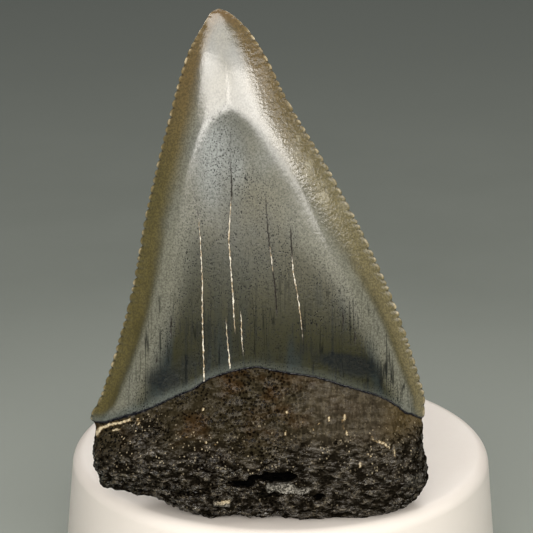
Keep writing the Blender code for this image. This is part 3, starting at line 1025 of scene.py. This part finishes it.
# The crests are painted paler, partly worn pale and partly painted light on the tops of the domes.
top = crest.ease(0.6, 1) * wear_in.ease(0, 1, 0.1, 0.6)
colour = top.mix(colour, (96, 87, 70))

gather = place.noise(0.45)
# The pores are painted near black, as painted shade in the pits.
pore = speckle(place, 0.32, 0.17, 0.85) * sideways.ease(7, 1, 0.3, 1) * gather.ease(0.36, 0.56, 0.25, 1)
colour = (pore * 0.9).mix(colour, DARKEST)
speck_place = place.stretch(1, 1, 0.7)
# Pale grains of sand, some of them standing in for glints as painted highlight.
sand_and_glints = speckle(speck_place, 0.33, 0.11, 0.55) * gather.ease(0.66, 0.46, 0, 1)
sand_and_glints = sand_and_glints * wear_in.ease(0, 0.3, 0.12, 1) * wear_in.ease(0.7, 1, 1, 0.4)
grit_and_glint_tone = place.noise(1.7).ease(0.36, 0.56).mix((84, 76, 62), (184, 170, 142))
colour = (sand_and_glints * 0.7).mix(colour, grit_and_glint_tone)

scraped = fine["Relief"].ease(0.42, 0.6, 0.55, 1.15)
pale_mask = (given["Pale"] * scraped).ease(0.3, 0.7)
pale_tone = given["Pale"].ease(0.5, 1).mix((112, 92, 60), (206, 192, 162))
colour = pale_mask.mix(colour, pale_tone)
knob_tone = fine["Relief"].ease(0.42, 0.6).mix((52, 50, 45), (164, 160, 150))
colour = given["Knob"].ease(0.1, 0.6, 0, 0.85).mix(colour, knob_tone)
# Painted shade: the hollows are painted near black.
deep = given["Hollow"] + fine["Relief"] * 0.8 - 0.4
colour = deep.ease(0.1, 0.8, 0, 0.95).mix(colour, (4, 4, 4))

roughness = wear_in.ease(0, 1, 0.34, 0.2) + place.noise(1.1, detail=3).ease(0.3, 0.7, -0.08, 0.08)
shiny_patches = place.stretch(0.4, 0.4, 0.8).noise().ease(0.38, 0.62, 0.55, 1)
polish = crest.ease(0.35, 0.75) * shiny_patches * deep.ease(0.05, 0.7, 1, 0)
polish = polish * wear_in.ease(0.1, 0.9, 0.2, 0.95)
rise = (big_dome * 0.42 + small_dome * 0.14) * wear_in.ease(0, 1, 0.15, 1)
rise = rise + fine["Relief"] * 0.07 + sand_and_glints * 0.05 - pore * 0.12
bench.join(result, {"Colour": colour, "Roughness": roughness, "Polish": polish, "Relief": rise})
print("bone:", len(bench.tree.nodes), "nodes")

# %% [markdown]
# ## One material for the whole tooth
#
# Enamel and bone meet along a fine dark line, so one material changes from one group to the other by the
# distance to the border. The cracks are cut last: a line drawn where the distance to the crack is less
# than its half-width, packed with pale mineral or left open and dark.

# %% The tooth's material
coat = {"Specular IOR Level": 0, "Coat Roughness": 0.12, "Coat IOR": 1.7}
fossil, bench, shader = start_material("fossil_tooth", coat)
place = millimetres(bench)
below_in = bench.stored("below_border")["below_border"]
border_at = below_in + (place.noise(2.2, detail=3) * 0.3 - 0.15)
enamel = bench.effect(
    enamel_group,
    place=place,
    above_border=below_in * -1,
    **bench.stored("height", "edge_distance", "band", "saw_count", "stain", "haze"),
)
bone = bench.effect(root_group, place=place, **bench.stored("wear", "hollow", "knob", "ground", "pale"))
is_bone = border_at.ease(-0.03, 0.05)
colour = is_bone.mix(enamel["Colour"], bone["Colour"])
line = abs(border_at - 0.02).ease(0.05, 0.2, 0.95, 0)
colour = line.mix(colour, (10, 12, 20))

crack_in = bench.stored("crack", "crack_width", "crack_filling")
half = crack_in["crack_width"]
wander = place.stretch(1.6, 0, 1.6).noise(detail=4, roughness=0.65) * 0.34 - 0.17
frayed = half * place.noise(2.6).ease(0.3, 0.7, 0.3, 1.15)
gap = abs(crack_in["crack"] + wander) - frayed
open_here = half.ease(0.01, 0.04)
cracked = gap.ease(-0.02, 0.03, 1, 0) * open_here
flake = place.noise(1.6, detail=3) - 0.5
filled = (crack_in["crack_filling"] + flake).ease(0.3, 0.7)
packing = place.noise(1.9).ease(0.4, 0.6).mix((160, 144, 118), (222, 216, 202))
lips = gap.ease(0.02, 0.1, 0.7, 0) * open_here
colour = lips.mix(colour, (28, 27, 22))
colour = cracked.mix(colour, filled.mix((34, 28, 26), packing))


def enamel_or_bone(title):
    """The enamel's value above the border and the bone's below it."""
    return enamel[title] * (1 - is_bone) + bone[title] * is_bone


roughness = enamel_or_bone("Roughness").math("MAXIMUM", cracked * 0.7)
polish = enamel_or_bone("Polish") * (1 - cracked)
bump = bumps(bench, enamel_or_bone("Relief") - cracked * 0.02, MM)
bench.join(shader, {"Base Color": colour, "Roughness": roughness})
bench.join(shader, {"Coat Weight": polish, "Normal": bump, "Coat Normal": bump})
tooth_mesh.materials.append(fossil)
print("tooth material:", len(fossil.node_tree.nodes), "nodes")

# %% [markdown]
# ## The stand's finish
#
# Moulded plastic is smooth but not perfect: a soft satin sheen, a cloudy tone as it cooled, fine scuffs,
# and a few yellowed specks of dust. The specks and the grain are the two shared groups, with other sizes.

# %% White moulded plastic
SCUFF_DEPTH = 0.006

plastic, bench, shader = start_material("white_plastic", {"IOR": 1.46})
place = millimetres(bench)
cloudy = bench.effect(grain_group, place=place, size=14, sharpness=0.4)
colour = cloudy["Tone"].mix((222, 215, 208), (229, 223, 217))
dust = speckle(place, 4.2, 0.32, 0.16)
colour = (dust * 0.4).mix(colour, (206, 186, 140))
scuffs = bench.effect(grain_group, place=place, size=0.7, sharpness=0.6)
roughness = scuffs["Tone"].ease(0, 1, 0.4, 0.5)
bump = bumps(bench, scuffs["Relief"], SCUFF_DEPTH * MM)
bench.join(shader, {"Base Color": colour, "Roughness": roughness, "Normal": bump})
stand.data.materials.append(plastic)
print("stand material:", len(plastic.node_tree.nodes), "nodes")

# %% [markdown]
# ## Put the pieces on the frame
#
# Each piece rides on the frame's one body and stands for its plain solid, which is hidden.

# %% Ride and replace
for piece, node, slot in ((tooth, "tooth", "fossil_tooth"), (stand, "stand", "white_plastic")):
    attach(piece, "root")
    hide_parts(node)
    print(piece.name, "stands for", node)
